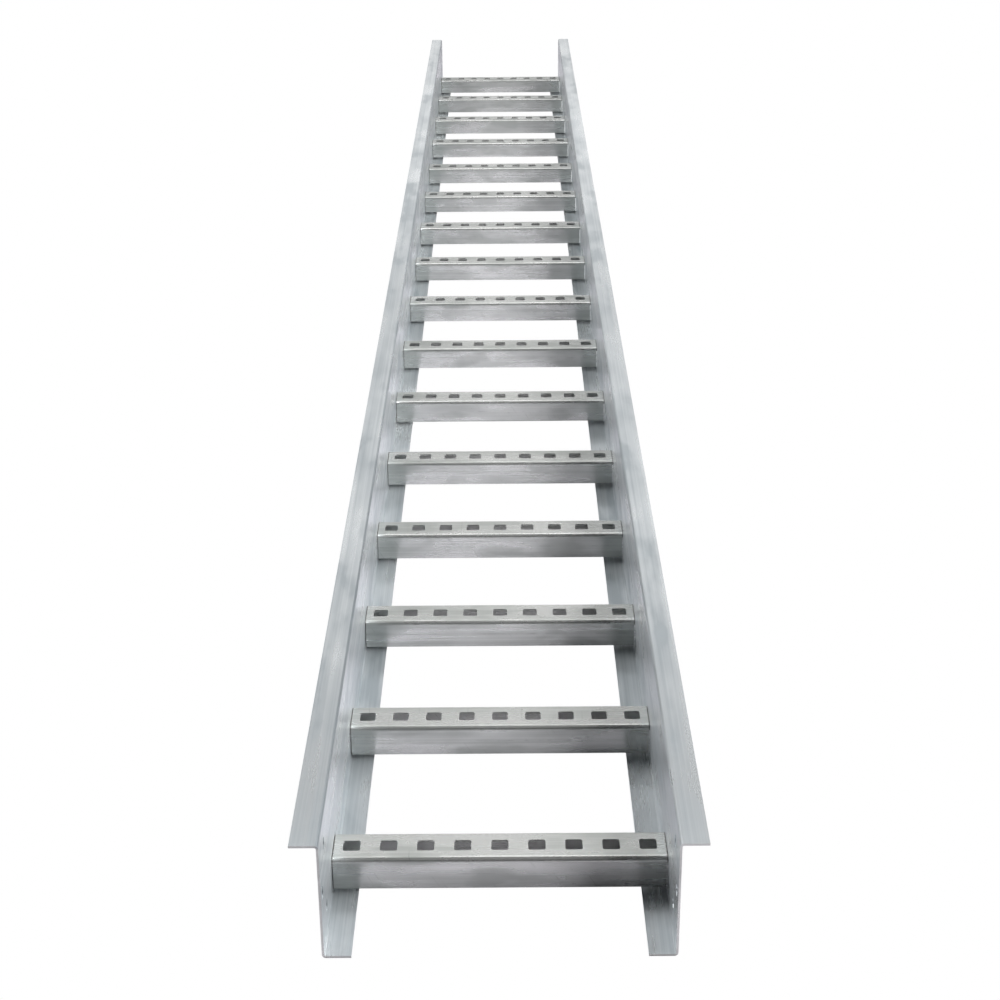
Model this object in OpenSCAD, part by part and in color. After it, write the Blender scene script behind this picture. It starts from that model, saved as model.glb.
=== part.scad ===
// Cable ladder section: two Z-shaped side rails joined by slotted channel rungs.
// +Z is up, the ladder runs along Y, and the origin lies on the floor under its middle.

/* [Ladder] */
// Clear width between the webs of the two side rails
inside_w = 304.8; // [150:1:915]
// Distance between the centres of neighbouring rungs
rung_spacing = 228.6; // [120:1:457.2]
// Number of rungs; each end keeps half a spacing so that joined sections stay regular
rung_count = 16; // [2:1:24]

/* [Side rails] */
// Height of a rail over both flanges
rail_h = 116; // [90:1:180]
// Width of each flange, measured over the web
flange_w = 25.4; // [18:0.1:50]
// Metal thickness of the rails
rail_t = 2; // [1.2:0.1:4]
// Inside radius of the rail's bends
rail_bend_r = 1.5; // [0.5:0.1:4]

/* [Rungs] */
// Width of a rung along the ladder
rung_w = 43; // [34:0.5:60]
// Height of a rung
rung_h = 31.75; // [20:0.25:45]
// Metal thickness of the rungs
rung_t = 2; // [1.2:0.1:3]
// Inside radius of the rung's two bends
rung_bend_r = 2.7; // [1:0.1:5]
// Height of the rung's lower edges above the bottom flange
rung_lift = 3.5; // [0.3:0.1:20]
// Gap between each end of a rung and the web that carries it
rung_end_gap = 0.3; // [0.1:0.1:0.5]

/* [Rung slots] */
// Number of slots along a rung
slot_count = 9; // [4:1:9]
// Size of a slot along the rung
slot_l = 15.9; // [6:0.1:16]
// Size of a slot across the rung
slot_w = 15.9; // [6:0.1:20]
// Radius of a slot's corners
slot_r = 2; // [0.5:0.1:2.5]

/* [Splice holes] */
// Diameter of the holes for the splice plate bolts
splice_hole_d = 11; // [6:0.5:14]
// Distance of the middle hole from the rail's end
splice_near = 14; // [10:0.5:20]
// Distance of the upper and lower holes from the rail's end
splice_far = 40; // [34:0.5:60]
// Height between neighbouring hole rows
splice_row = 32.5; // [18:0.5:33]
// Height of the middle hole row
splice_mid_z = 59; // [50:0.5:65]

/* [Hidden] */
eps = 1;
rung_names = [for (i = [1:rung_count]) str("rung_", i < 10 ? "0" : "", i)];

ladder_l = rung_count * rung_spacing;
rail_outer_r = rail_bend_r + rail_t;
rung_outer_r = rung_bend_r + rung_t;
rung_l = inside_w - 2 * rung_end_gap;
rung_z = rail_t + rung_lift;
slot_pitch = inside_w / slot_count;
rail_colour = "#C6CACB";
rung_colour = "#BABEBC";

// Quarter ring of metal round a bend, in the quadrant that the signs choose
module bend(inner_r, thickness, sign_x, sign_y) {
    outer_r = inner_r + thickness;
    intersection() {
        difference() {
            circle(r = outer_r, $fn = 48);
            circle(r = inner_r, $fn = 48);
        }
        scale([sign_x, sign_y]) square(outer_r);
    }
}

// Z section: x grows outward from the web's inner face, y is the height
module rail_section() {
    translate([0, rail_outer_r]) square([rail_t, rail_h - 2 * rail_outer_r]);
    translate([-rail_bend_r, rail_outer_r]) bend(rail_bend_r, rail_t, 1, -1);
    translate([rail_t - flange_w, 0]) square([flange_w - rail_outer_r, rail_t]);
    translate([rail_outer_r, rail_h - rail_outer_r]) bend(rail_bend_r, rail_t, -1, 1);
    translate([rail_outer_r, rail_h - rail_t]) square([flange_w - rail_outer_r, rail_t]);
}

// One bolt hole through the web, at a place along the rail and a height
module splice_hole(along, height) {
    translate([-eps, along, height])
        rotate([0, 90, 0]) cylinder(d = splice_hole_d, h = rail_t + 2 * eps, $fn = 48);
}

// Three splice holes in a triangle whose tip points to the rail's end
module splice_holes(direction) {
    end = direction * ladder_l / 2;
    splice_hole(end - direction * splice_near, splice_mid_z);
    for (row = [-1, 1])
        splice_hole(end - direction * splice_far, splice_mid_z + row * splice_row);
}

// Right-hand rail, with its top flange outward and its bottom flange inward
module side_rail() {
    translate([inside_w / 2, 0, 0])
        difference() {
            translate([0, ladder_l / 2, 0])
                rotate([90, 0, 0]) linear_extrude(ladder_l) rail_section();
            for (direction = [-1, 1])
                splice_holes(direction);
        }
}

// Rectangle with its two upper corners rounded, standing on y = 0
module arch(width, height, radius) {
    translate([-width / 2, 0]) square([width, height - radius]);
    translate([-width / 2 + radius, 0]) square([width - 2 * radius, height]);
    for (side = [-1, 1])
        translate([side * (width / 2 - radius), height - radius]) circle(r = radius, $fn = 48);
}

// Channel open below, with both bends at the top
module rung_section() {
    difference() {
        arch(rung_w, rung_h, rung_outer_r);
        translate([0, -eps]) arch(rung_w - 2 * rung_t, rung_h - rung_t + eps, rung_bend_r);
    }
}

// Rounded slot outline, centred
module slot_outline() {
    square([slot_l - 2 * slot_r, slot_w], center = true);
    square([slot_l, slot_w - 2 * slot_r], center = true);
    for (x = [-1, 1], y = [-1, 1])
        translate([x * (slot_l / 2 - slot_r), y * (slot_w / 2 - slot_r)])
            circle(r = slot_r, $fn = 32);
}

// Rung between the webs, with a row of slots through its top
module slotted_rung() {
    difference() {
        translate([-rung_l / 2, 0, rung_z])
            rotate([90, 0, 90]) linear_extrude(rung_l) rung_section();
        for (k = [0:slot_count - 1])
            translate([(k - (slot_count - 1) / 2) * slot_pitch, 0, rung_z + rung_h - rung_t - eps])
                linear_extrude(rung_t + 2 * eps) slot_outline();
    }
}

module side_rail_left() {
    color(rail_colour) mirror([1, 0, 0]) side_rail();
}

module side_rail_right() {
    color(rail_colour) side_rail();
}

module rung(index) {
    along = (index + 0.5) * rung_spacing - ladder_l / 2;
    color(rung_colour) translate([0, along, 0]) slotted_rung();
}

side_rail_left();
side_rail_right();
for (i = [0:rung_count - 1])
    rung(i);
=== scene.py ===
"""Cable ladder section: mill finishes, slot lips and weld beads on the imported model.

Lengths named _mm are millimetres, all others are metres. The ladder runs along Y, its near end is at
the lowest Y, and the rungs lie between the webs of two rails.
"""

import math

import bpy
from mathutils import Matrix, Vector


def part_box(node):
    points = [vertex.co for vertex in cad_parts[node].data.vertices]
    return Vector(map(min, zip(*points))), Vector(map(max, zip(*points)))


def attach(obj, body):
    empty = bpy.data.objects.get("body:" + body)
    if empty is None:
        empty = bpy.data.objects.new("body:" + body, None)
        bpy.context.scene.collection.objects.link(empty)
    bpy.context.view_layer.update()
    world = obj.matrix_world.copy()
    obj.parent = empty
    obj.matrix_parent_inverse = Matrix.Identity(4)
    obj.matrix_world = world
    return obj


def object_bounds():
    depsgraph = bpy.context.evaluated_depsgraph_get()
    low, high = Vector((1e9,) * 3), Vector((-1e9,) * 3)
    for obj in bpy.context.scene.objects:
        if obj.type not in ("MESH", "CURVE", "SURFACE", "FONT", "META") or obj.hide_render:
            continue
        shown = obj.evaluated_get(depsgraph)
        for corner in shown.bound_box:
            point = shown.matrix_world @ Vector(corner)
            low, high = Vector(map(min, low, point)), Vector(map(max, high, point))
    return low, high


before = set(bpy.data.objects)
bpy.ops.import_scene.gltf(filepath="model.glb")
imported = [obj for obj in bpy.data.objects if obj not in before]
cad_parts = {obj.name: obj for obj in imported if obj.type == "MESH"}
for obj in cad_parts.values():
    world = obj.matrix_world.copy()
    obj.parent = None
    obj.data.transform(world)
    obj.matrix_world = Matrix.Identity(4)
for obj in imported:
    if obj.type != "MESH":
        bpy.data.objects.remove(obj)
cad_low, cad_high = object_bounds()

MM = 0.001
RUNGS = sorted(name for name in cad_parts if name.startswith("rung_"))
RAILS = ["side_rail_left", "side_rail_right"]
# How far a rail's upper flange, metal included, reaches outward from the web's inner face
RAIL_OVERHANG = 25.4 * MM
# The webs' inner faces lie this far to each side of the middle
WEB_X = (cad_high.x - cad_low.x) / 2 - RAIL_OVERHANG

# Slots as the CAD has them, and the lip that the punch turns over round each
SLOT = 15.9 * MM
SLOT_CORNER = 2 * MM
SLOTS = 9
LIP = 0.5 * MM
# How far the lips' outline lies under the rung's top
LIP_SUNK = 0.01 * MM
# Radius in proportion to which a weld bead's rings are drawn, and the rings' number and swell
WELD_LEG = 1.2 * MM
WELD_RIPPLES = 16
WELD_SWELL = 0.93
# Under this angle between faces the light sees one smooth surface
SMOOTH_ANGLE = math.radians(40)


# ---------------------------------------------------------------- small helpers

def linear(hex_colour):
    """An sRGB hex colour as linear RGBA."""
    parts = [int(hex_colour[i:i + 2], 16) / 255 for i in (1, 3, 5)]
    return [c / 12.92 if c <= 0.04045 else ((c + 0.055) / 1.055) ** 2.4 for c in parts] + [1.0]


def add_node(tree, kind, inputs=None, **settings):
    """Adds a node; inputs maps a socket's name or number to a value or to another node's output."""
    node = tree.nodes.new("ShaderNode" + kind)
    for key, value in settings.items():
        setattr(node, key, value)
    for key, value in (inputs or {}).items():
        if isinstance(value, bpy.types.NodeSocket):
            tree.links.new(value, node.inputs[key])
        else:
            node.inputs[key].default_value = value
    return node


def new_material(name):
    """An empty node material: its tree, its metal shader and its Object coordinates."""
    material = bpy.data.materials.new(name)
    material.use_nodes = True
    tree = material.node_tree
    tree.nodes.clear()
    shader = add_node(tree, "BsdfPrincipled")
    add_node(tree, "OutputMaterial", {"Surface": shader.outputs[0]})
    place = add_node(tree, "TexCoord").outputs["Object"]
    return material, tree, shader, place


# ---------------------------------------------------------------- materials

def mill_finish(name, grain, tints, rough, heights_mm, sizes_mm):
    """Extruded aluminium as it leaves the press: satin metal that mirrors what touches it.

    The die leaves lines along the grain, the cooled skin is cloudy, and stacking rubs duller
    patches into it. grain is 0 or 1 for lines along X or Y. sizes_mm gives each pattern's
    length along the grain and its width across, heights_mm the relief of the last three.
    """
    material, tree, shader, place = new_material(name)

    def pattern(kind, **settings):
        length, width = sizes_mm[kind]
        size = [width * MM] * 3
        size[grain] = length * MM
        spread = add_node(tree, "Mapping", {"Vector": place, "Scale": size}, vector_type="TEXTURE")
        noise = {"Vector": spread.outputs[0], "Scale": 1}
        noise.update(settings)
        return add_node(tree, "TexNoise", noise).outputs[0]

    fine = pattern("fine lines", Detail=3, Roughness=0.6)
    bands = pattern("die bands", Detail=2, Roughness=0.5)
    clouds = pattern("clouds", Detail=2, Roughness=0.5)
    stains = pattern("stains", Detail=3, Roughness=0.45)
    waves = pattern("waves", Detail=1)

    stained = add_node(tree, "MapRange", {"Value": stains, "From Min": 0.5, "From Max": 0.7},
                       interpolation_type="SMOOTHSTEP").outputs[0]
    lines = add_node(tree, "Mix", {"Factor": 0.55, "A": fine, "B": bands}).outputs[0]
    skin = add_node(tree, "Mix", {"Factor": 0.5, "A": clouds, "B": lines}).outputs[0]
    shade = add_node(tree, "MapRange", {"Value": skin, "From Min": 0.36, "From Max": 0.64}).outputs[0]
    shade = add_node(tree, "Math", {0: stained, 1: 0.5, 2: shade}, operation="MULTIPLY_ADD",
                     use_clamp=True).outputs[0]
    colour = add_node(tree, "ValToRGB", {"Fac": shade})
    for stop, tint in zip(colour.color_ramp.elements, tints):
        stop.color = linear(tint)

    roughness = add_node(tree, "MapRange", {"Value": skin, "From Min": 0.35, "From Max": 0.65,
                                            "To Min": rough[0], "To Max": rough[1]}).outputs[0]
    roughness = add_node(tree, "Math", {0: stained, 1: 0.08, 2: roughness},
                         operation="MULTIPLY_ADD").outputs[0]

    relief = add_node(tree, "Bump", {"Height": waves, "Distance": heights_mm[0] * MM}).outputs[0]
    for height, depth_mm in ((bands, heights_mm[1]), (fine, heights_mm[2])):
        bump = {"Height": height, "Distance": depth_mm * MM, "Normal": relief}
        relief = add_node(tree, "Bump", bump).outputs[0]

    axis = [0.0, 0.0, 0.0]
    axis[grain] = 1.0
    normal = add_node(tree, "NewGeometry").outputs["Normal"]
    across = add_node(tree, "VectorMath", {0: axis, 1: normal}, operation="CROSS_PRODUCT").outputs[0]
    # A sawn end has no grain across it, so a slight constant lean keeps its direction defined
    across = add_node(tree, "VectorMath", {0: across, 1: (0.01, 0.01, 0.013)}, operation="ADD").outputs[0]

    tree.links.new(colour.outputs[0], shader.inputs["Base Color"])
    tree.links.new(roughness, shader.inputs["Roughness"])
    tree.links.new(relief, shader.inputs["Normal"])
    tree.links.new(across, shader.inputs["Tangent"])
    shader.inputs["Metallic"].default_value = 0.8
    shader.inputs["Anisotropic"].default_value = 0.75
    return material


def tint_dirt_and_painted_light(material, masks, colour, strength):
    """Mixes a material's base colour towards a given colour wherever one of the masks is set: real dirt,
    wear and tone, and also painted shade, a painted reflection and painted light.
    """
    tree = material.node_tree
    shader = next(node for node in tree.nodes if node.type == "BSDF_PRINCIPLED")
    untinted = shader.inputs["Base Color"].links[0].from_socket
    mask = masks[0]
    for other in masks[1:]:
        mask = add_node(tree, "Math", {0: mask, 1: other}, operation="MAXIMUM").outputs[0]
    mask = add_node(tree, "Math", {0: mask, 1: strength}, operation="MULTIPLY").outputs[0]
    tinted = add_node(tree, "Mix", {0: mask}, data_type="RGBA")
    tree.links.new(untinted, tinted.inputs[6])
    tinted.inputs[7].default_value = linear(colour)
    tree.links.new(tinted.outputs[2], shader.inputs["Base Color"])


def near_plane(tree, axis_value, level, reach):
    """Mask that is 1 where a coordinate is at a level and falls to 0 at a reach on either side."""
    gap = add_node(tree, "Math", {0: axis_value, 1: level}, operation="SUBTRACT").outputs[0]
    gap = add_node(tree, "Math", {0: gap}, operation="ABSOLUTE").outputs[0]
    return add_node(tree, "MapRange", {"Value": gap, "From Min": reach, "From Max": 0.4 * reach},
                    interpolation_type="SMOOTHSTEP").outputs[0]


def rail_aluminium():
    """The rails' skin: long cloudy die bands, a painted dark reflection line along the left rail's upper
    bend, duller sawn ends.
    """
    sizes_mm = {"fine lines": (400, 1.6), "die bands": (1200, 6), "clouds": (160, 40),
                "stains": (110, 32), "waves": (220, 60)}
    material = mill_finish("mill_finish_aluminium_rail", 1, ("#DFE3E5", "#AFB6BA"), (0.24, 0.36),
                           (0.06, 0.012, 0.003), sizes_mm)
    tree = material.node_tree
    place = add_node(tree, "TexCoord").outputs["Object"]
    along = add_node(tree, "SeparateXYZ", {0: place}).outputs[1]
    along = add_node(tree, "Math", {0: along}, operation="ABSOLUTE").outputs[0]
    sawn = near_plane(tree, along, cad_high.y, 0.5 * MM)
    nicks = add_node(tree, "TexVoronoi", {"Vector": place, "Scale": 1 / (55 * MM)}).outputs[0]
    nicks = add_node(tree, "MapRange", {"Value": nicks, "From Min": 0.028, "From Max": 0.018}).outputs[0]
    x, _, z = add_node(tree, "SeparateXYZ", {0: place}).outputs
    # Painted reflection: a dark bluish line on the left rail's upper bend stands in for dark surroundings
    # mirrored there, not a real mark on the metal.
    bend = near_plane(tree, x, -WEB_X - 1.2 * MM, 1.8 * MM)
    upper = near_plane(tree, z, cad_high.z, 5 * MM)
    bend = add_node(tree, "Math", {0: bend, 1: upper}, operation="MULTIPLY").outputs[0]
    tint_dirt_and_painted_light(material, [sawn], "#C6C2BC", 0.5)
    tint_dirt_and_painted_light(material, [bend], "#66727C", 0.4)
    tint_dirt_and_painted_light(material, [nicks], "#4E4F50", 0.6)
    return material


def rung_aluminium():
    """The rungs' skin: rolling lines along each rung, rubs and scratches, painted light inside the
    channel and painted shade at the rung ends.
    """
    sizes_mm = {"fine lines": (300, 1.4), "die bands": (500, 5), "clouds": (90, 30),
                "stains": (70, 26), "waves": (120, 50)}
    material = mill_finish("mill_finish_aluminium_rung", 0, ("#DADBD9", "#B4B7B4"), (0.22, 0.34),
                           (0.025, 0.003, 0.0006), sizes_mm)
    tree = material.node_tree
    place = add_node(tree, "TexCoord").outputs["Object"]
    x, y, z = add_node(tree, "SeparateXYZ", {0: place}).outputs
    across = add_node(tree, "Math", {0: x}, operation="ABSOLUTE").outputs[0]
    painted_end_shadow = near_plane(tree, across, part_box(RUNGS[0])[1].x, 0.9 * MM)

    rub = near_plane(tree, z, 21 * MM, 0.9 * MM)
    breaks = add_node(tree, "Mapping", {"Vector": place, "Scale": (16 * MM, 300 * MM, 6 * MM)},
                      vector_type="TEXTURE")
    breaks = add_node(tree, "TexNoise", {"Vector": breaks.outputs[0], "Scale": 1, "Detail": 4,
                                         "Roughness": 0.7}).outputs[0]
    breaks = add_node(tree, "MapRange", {"Value": breaks, "From Min": 0.5, "From Max": 0.66}).outputs[0]
    rub = add_node(tree, "Math", {0: rub, 1: breaks}, operation="MULTIPLY").outputs[0]

    scratches = add_node(tree, "Mapping", {"Vector": place, "Scale": (0.8 * MM, 90 * MM, 22 * MM),
                                           "Rotation": (0, math.radians(-32), 0)}, vector_type="TEXTURE")
    scratches = add_node(tree, "TexNoise", {"Vector": scratches.outputs[0], "Scale": 1, "Detail": 0})
    scratches = add_node(tree, "MapRange", {"Value": scratches.outputs[0], "From Min": 0.78,
                                            "From Max": 0.84}).outputs[0]
    specks = add_node(tree, "TexVoronoi", {"Vector": place, "Scale": 1 / (24 * MM)}).outputs[0]
    specks = add_node(tree, "MapRange", {"Value": specks, "From Min": 0.045, "From Max": 0.03}).outputs[0]

    low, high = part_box(RUNGS[0])
    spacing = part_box(RUNGS[1])[0].y - low.y
    along = add_node(tree, "Math", {0: y, 1: spacing, 2: 0}, operation="WRAP").outputs[0]
    centre = (low.y + high.y) / 2 % spacing
    inside = add_node(tree, "Math", {0: along, 1: centre, 2: (high.y - low.y) / 2 - 1 * MM},
                      operation="COMPARE").outputs[0]
    below = add_node(tree, "Math", {0: z, 1: high.z - 1 * MM}, operation="LESS_THAN").outputs[0]
    inside = add_node(tree, "Math", {0: inside, 1: below}, operation="MULTIPLY").outputs[0]
    # Painted light: the inside faces of each rung's channel get a near-white base colour that stands in
    # for light reaching them, not a cleaner metal.
    tint_dirt_and_painted_light(material, [inside], "#F8F8F6", 0.6)
    # Painted shade: a dark brown band at the rung ends, where they meet the webs, stands in for the
    # shadow in the narrow gap there.
    tint_dirt_and_painted_light(material, [painted_end_shadow], "#3F3833", 0.85)
    tint_dirt_and_painted_light(material, [rub, scratches, specks], "#66676A", 0.28)
    return material


def weld_painted_highlight():
    """Aluminium weld bead left as laid: brighter and smoother than the mill skin beside it; its pale,
    less metallic colour is partly the weld's own and partly painted highlight, so the bead shows as a
    bright line.
    """
    material, tree, shader, place = new_material("weld_bead_aluminium")
    scale = add_node(tree, "Mapping", {"Vector": place, "Scale": (3 * MM, 3 * MM, 1.2 * MM)},
                     vector_type="TEXTURE")
    soot = add_node(tree, "TexNoise", {"Vector": scale.outputs[0], "Scale": 1, "Detail": 2})
    colour = add_node(tree, "ValToRGB", {"Fac": soot.outputs[0]})
    # Pale tones: partly the weld's own colour, partly painted highlight.
    colour.color_ramp.elements[0].color = linear("#B9BCBC")
    colour.color_ramp.elements[0].position = 0.35
    colour.color_ramp.elements[1].color = linear("#F4F6F6")
    colour.color_ramp.elements[1].position = 0.55
    tree.links.new(colour.outputs[0], shader.inputs["Base Color"])
    shader.inputs["Metallic"].default_value = 0.35
    shader.inputs["Roughness"].default_value = 0.38
    return material


rail_metal = rail_aluminium()
rung_metal = rung_aluminium()
weld_metal = weld_painted_highlight()

for name in RAILS:
    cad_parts[name].data.materials.clear()
    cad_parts[name].data.materials.append(rail_metal)
for name in RUNGS:
    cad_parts[name].data.materials.clear()
    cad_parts[name].data.materials.append(rung_metal)


# ---------------------------------------------------------------- welds and punched slots

def finish(piece, name, material):
    """Puts the piece's place into its mesh, smooths it and lets it ride with the ladder."""
    bpy.ops.object.select_all(action="DESELECT")
    piece.select_set(True)
    bpy.context.view_layer.objects.active = piece
    bpy.ops.object.transform_apply(location=True, rotation=True, scale=True)
    bpy.ops.object.shade_smooth_by_angle(angle=SMOOTH_ANGLE)
    piece.name = name
    piece.data.materials.clear()
    piece.data.materials.append(material)
    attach(piece, "root")


def copy_to(piece, shift):
    """A copy of a finished piece with its own mesh, moved in its mesh."""
    twin = bpy.data.objects.new(piece.name, piece.data.copy())
    twin.data.transform(Matrix.Translation(shift))
    bpy.context.scene.collection.objects.link(twin)
    return twin


def slot_lips(first_rung):
    """One row of turned-over slot edges on the first rung: a low round lip that catches the light."""
    low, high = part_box(first_rung)
    pitch = 2 * WEB_X / SLOTS
    first_slot = (-(SLOTS - 1) / 2 * pitch, (low.y + high.y) / 2, high.z - LIP_SUNK)
    bpy.ops.object.select_all(action="DESELECT")
    bpy.ops.mesh.primitive_plane_add(size=1, location=first_slot)
    lips = bpy.context.object
    lips.scale = (SLOT + 2 * LIP, SLOT + 2 * LIP, 1)
    bpy.ops.object.transform_apply(location=False, rotation=False, scale=True)
    bpy.ops.object.mode_set(mode="EDIT")
    bpy.ops.mesh.select_all(action="SELECT")
    bpy.ops.mesh.bevel(offset=SLOT_CORNER + LIP, segments=5, affect="VERTICES")
    bpy.ops.mesh.select_all(action="SELECT")
    # Millimetres inward and up for each step from the flat top over the lip into the slot
    for inward, upward in ((0.15, 0.06), (0.2, 0.02), (0.1, -0.04), (0.1, -0.3), (0.02, -0.4)):
        bpy.ops.mesh.inset(thickness=inward * MM, depth=upward * MM)
    bpy.ops.mesh.delete(type="FACE")
    bpy.ops.object.mode_set(mode="OBJECT")
    row = lips.modifiers.new("row", "ARRAY")
    row.count = SLOTS
    row.use_relative_offset = False
    row.use_constant_offset = True
    row.constant_offset_displace = (pitch, 0, 0)
    bpy.ops.object.modifier_apply(modifier="row")
    return lips


def rung_welds(first_rung):
    """Rippled upright weld beads in three of the corners between the first rung and the webs."""
    low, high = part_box(first_rung)
    foot, top = low.z + 0.4 * MM, high.z - 5.2 * MM
    rings = 2 * WELD_RIPPLES
    rise = (top - foot) / rings
    beads = []
    for x, y in ((WEB_X, low.y), (WEB_X, high.y), (-WEB_X, high.y)):
        bpy.ops.object.select_all(action="DESELECT")
        bpy.ops.mesh.primitive_circle_add(vertices=16, radius=0.55 * WELD_LEG, fill_type="NGON",
                                          location=(x, y, foot))
        bead = bpy.context.object
        bpy.ops.object.mode_set(mode="EDIT")
        bpy.ops.mesh.select_all(action="SELECT")
        for ring in range(rings + 1):
            wide = WELD_SWELL if ring % 2 else 1 / WELD_SWELL
            if ring == 0:
                wide = 1.8
            elif ring == rings:
                wide = 0.55
            lift = rise if 0 < ring < rings else 0.5 * rise
            bpy.ops.mesh.extrude_region_move(TRANSFORM_OT_translate={"value": (0, 0, lift)})
            bpy.ops.transform.resize(value=(wide, wide, 1))
        bpy.ops.mesh.select_all(action="SELECT")
        bpy.ops.mesh.normals_make_consistent(inside=False)
        bpy.ops.object.mode_set(mode="OBJECT")
        beads.append(bead)
    bpy.ops.object.select_all(action="DESELECT")
    for bead in beads:
        bead.select_set(True)
    bpy.context.view_layer.objects.active = beads[0]
    bpy.ops.object.join()
    return beads[0]


def dress_rungs():
    """Makes the lips and welds of the first rung and copies them to the others."""
    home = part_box(RUNGS[0])[0]
    lips = slot_lips(RUNGS[0])
    finish(lips, RUNGS[0] + "_slot_lips", rung_metal)
    welds = rung_welds(RUNGS[0])
    finish(welds, RUNGS[0] + "_welds", weld_metal)
    for rung in RUNGS[1:]:
        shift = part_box(rung)[0] - home
        for piece, part in ((lips, "_slot_lips"), (welds, "_welds")):
            twin = copy_to(piece, shift)
            twin.name = rung + part
            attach(twin, "root")


dress_rungs()


# ---------------------------------------------------------------- floor, light and camera

def studio_floor():
    """A pale floor: white to the eye, grey where it lights the metal or is mirrored in it."""
    material = bpy.data.materials.new("pale_studio_floor")
    material.use_nodes = True
    tree = material.node_tree
    tree.nodes.clear()
    seen = add_node(tree, "LightPath").outputs["Is Camera Ray"]
    grey = add_node(tree, "BsdfDiffuse", {"Color": linear("#B3B1B6")})
    white = add_node(tree, "Emission", {"Color": linear("#FFFFFF"), "Strength": 1.0})
    both = add_node(tree, "MixShader", {0: seen, 1: grey.outputs[0], 2: white.outputs[0]})
    add_node(tree, "OutputMaterial", {"Surface": both.outputs[0]})
    bpy.ops.mesh.primitive_plane_add(size=40, location=(0, 0, -0.5 * MM))
    floor = bpy.context.object
    floor.name = "studio_floor"
    floor.data.materials.append(material)


# name: (place, width and depth, aim, watts)
SOFTBOXES = {
    "right_near": ((2.2, -1.6, 2.2), (1.6, 1.6), (0, -1.6, 0), 159),
    "right_middle": ((2.2, 0.2, 2.2), (1.6, 1.6), (0, 0.2, 0), 73),
    "right_far": ((2.2, 2.0, 2.2), (1.6, 1.6), (0, 2.0, 0), 17),
    "left_middle": ((-2.2, 0.2, 2.2), (1.6, 1.6), (0, 0.2, 0), 115),
    "left_far": ((-2.2, 2.0, 2.2), (1.6, 1.6), (0, 2.0, 0), 14),
    "overhead": ((0, 0.2, 2.6), (2.4, 1.6), (0, 0.2, 0), 24),
    "back_low": ((0, 5.5, 1.0), (5.0, 1.6), (0, 0, 0), 20),
    "back_high": ((0, 5.5, 3.2), (5.0, 2.0), (0, 0, 0), 20),
}


def soft_light(name, place, size, aim, watts):
    """One rectangular softbox that faces its aim."""
    data = bpy.data.lights.new(name, "AREA")
    data.shape = "RECTANGLE"
    data.size, data.size_y = size
    data.energy = watts
    lamp = bpy.data.objects.new(name, data)
    lamp.location = place
    lamp.rotation_euler = (Vector(aim) - Vector(place)).to_track_quat("-Z", "Y").to_euler()
    bpy.context.scene.collection.objects.link(lamp)


def studio_sky():
    """A room that is white to the eye and dim in the metal's reflections, so that none is black."""
    world = bpy.data.worlds.new("studio_sky")
    world.use_nodes = True
    tree = world.node_tree
    tree.nodes.clear()
    seen = add_node(tree, "LightPath").outputs["Is Camera Ray"]
    seen = add_node(tree, "Math", {0: seen, 1: 0.02}, operation="MAXIMUM").outputs[0]
    sky = add_node(tree, "Background", {"Color": linear("#FFFFFF"), "Strength": seen})
    add_node(tree, "OutputWorld", {"Surface": sky.outputs[0]})
    bpy.context.scene.world = world


def camera():
    """A 67 mm lens one metre up, 1.3 m before the near end, looking down along the ladder."""
    pitch, yaw, roll = (math.radians(a) for a in (24.20, -0.22, -0.50))
    ahead = Vector((math.sin(yaw) * math.cos(pitch), math.cos(yaw) * math.cos(pitch), -math.sin(pitch)))
    right = Vector((math.cos(yaw), -math.sin(yaw), 0))
    up = right.cross(ahead)
    right_rolled = right * math.cos(roll) + up * math.sin(roll)
    up_rolled = up * math.cos(roll) - right * math.sin(roll)
    data = bpy.data.cameras.new("camera")
    data.lens = 67.32
    data.sensor_width = 36
    data.clip_end = 100
    lens = bpy.data.objects.new("camera", data)
    turn = Matrix((right_rolled, up_rolled, -ahead)).transposed().to_4x4()
    lens.matrix_world = Matrix.Translation((0.00837, cad_low.y - 1.3156, 1.0254)) @ turn
    bpy.context.scene.collection.objects.link(lens)
    bpy.context.scene.camera = lens


studio_floor()
for name, box in SOFTBOXES.items():
    soft_light(name, *box)
studio_sky()
camera()
bpy.context.scene.view_settings.view_transform = "Standard"
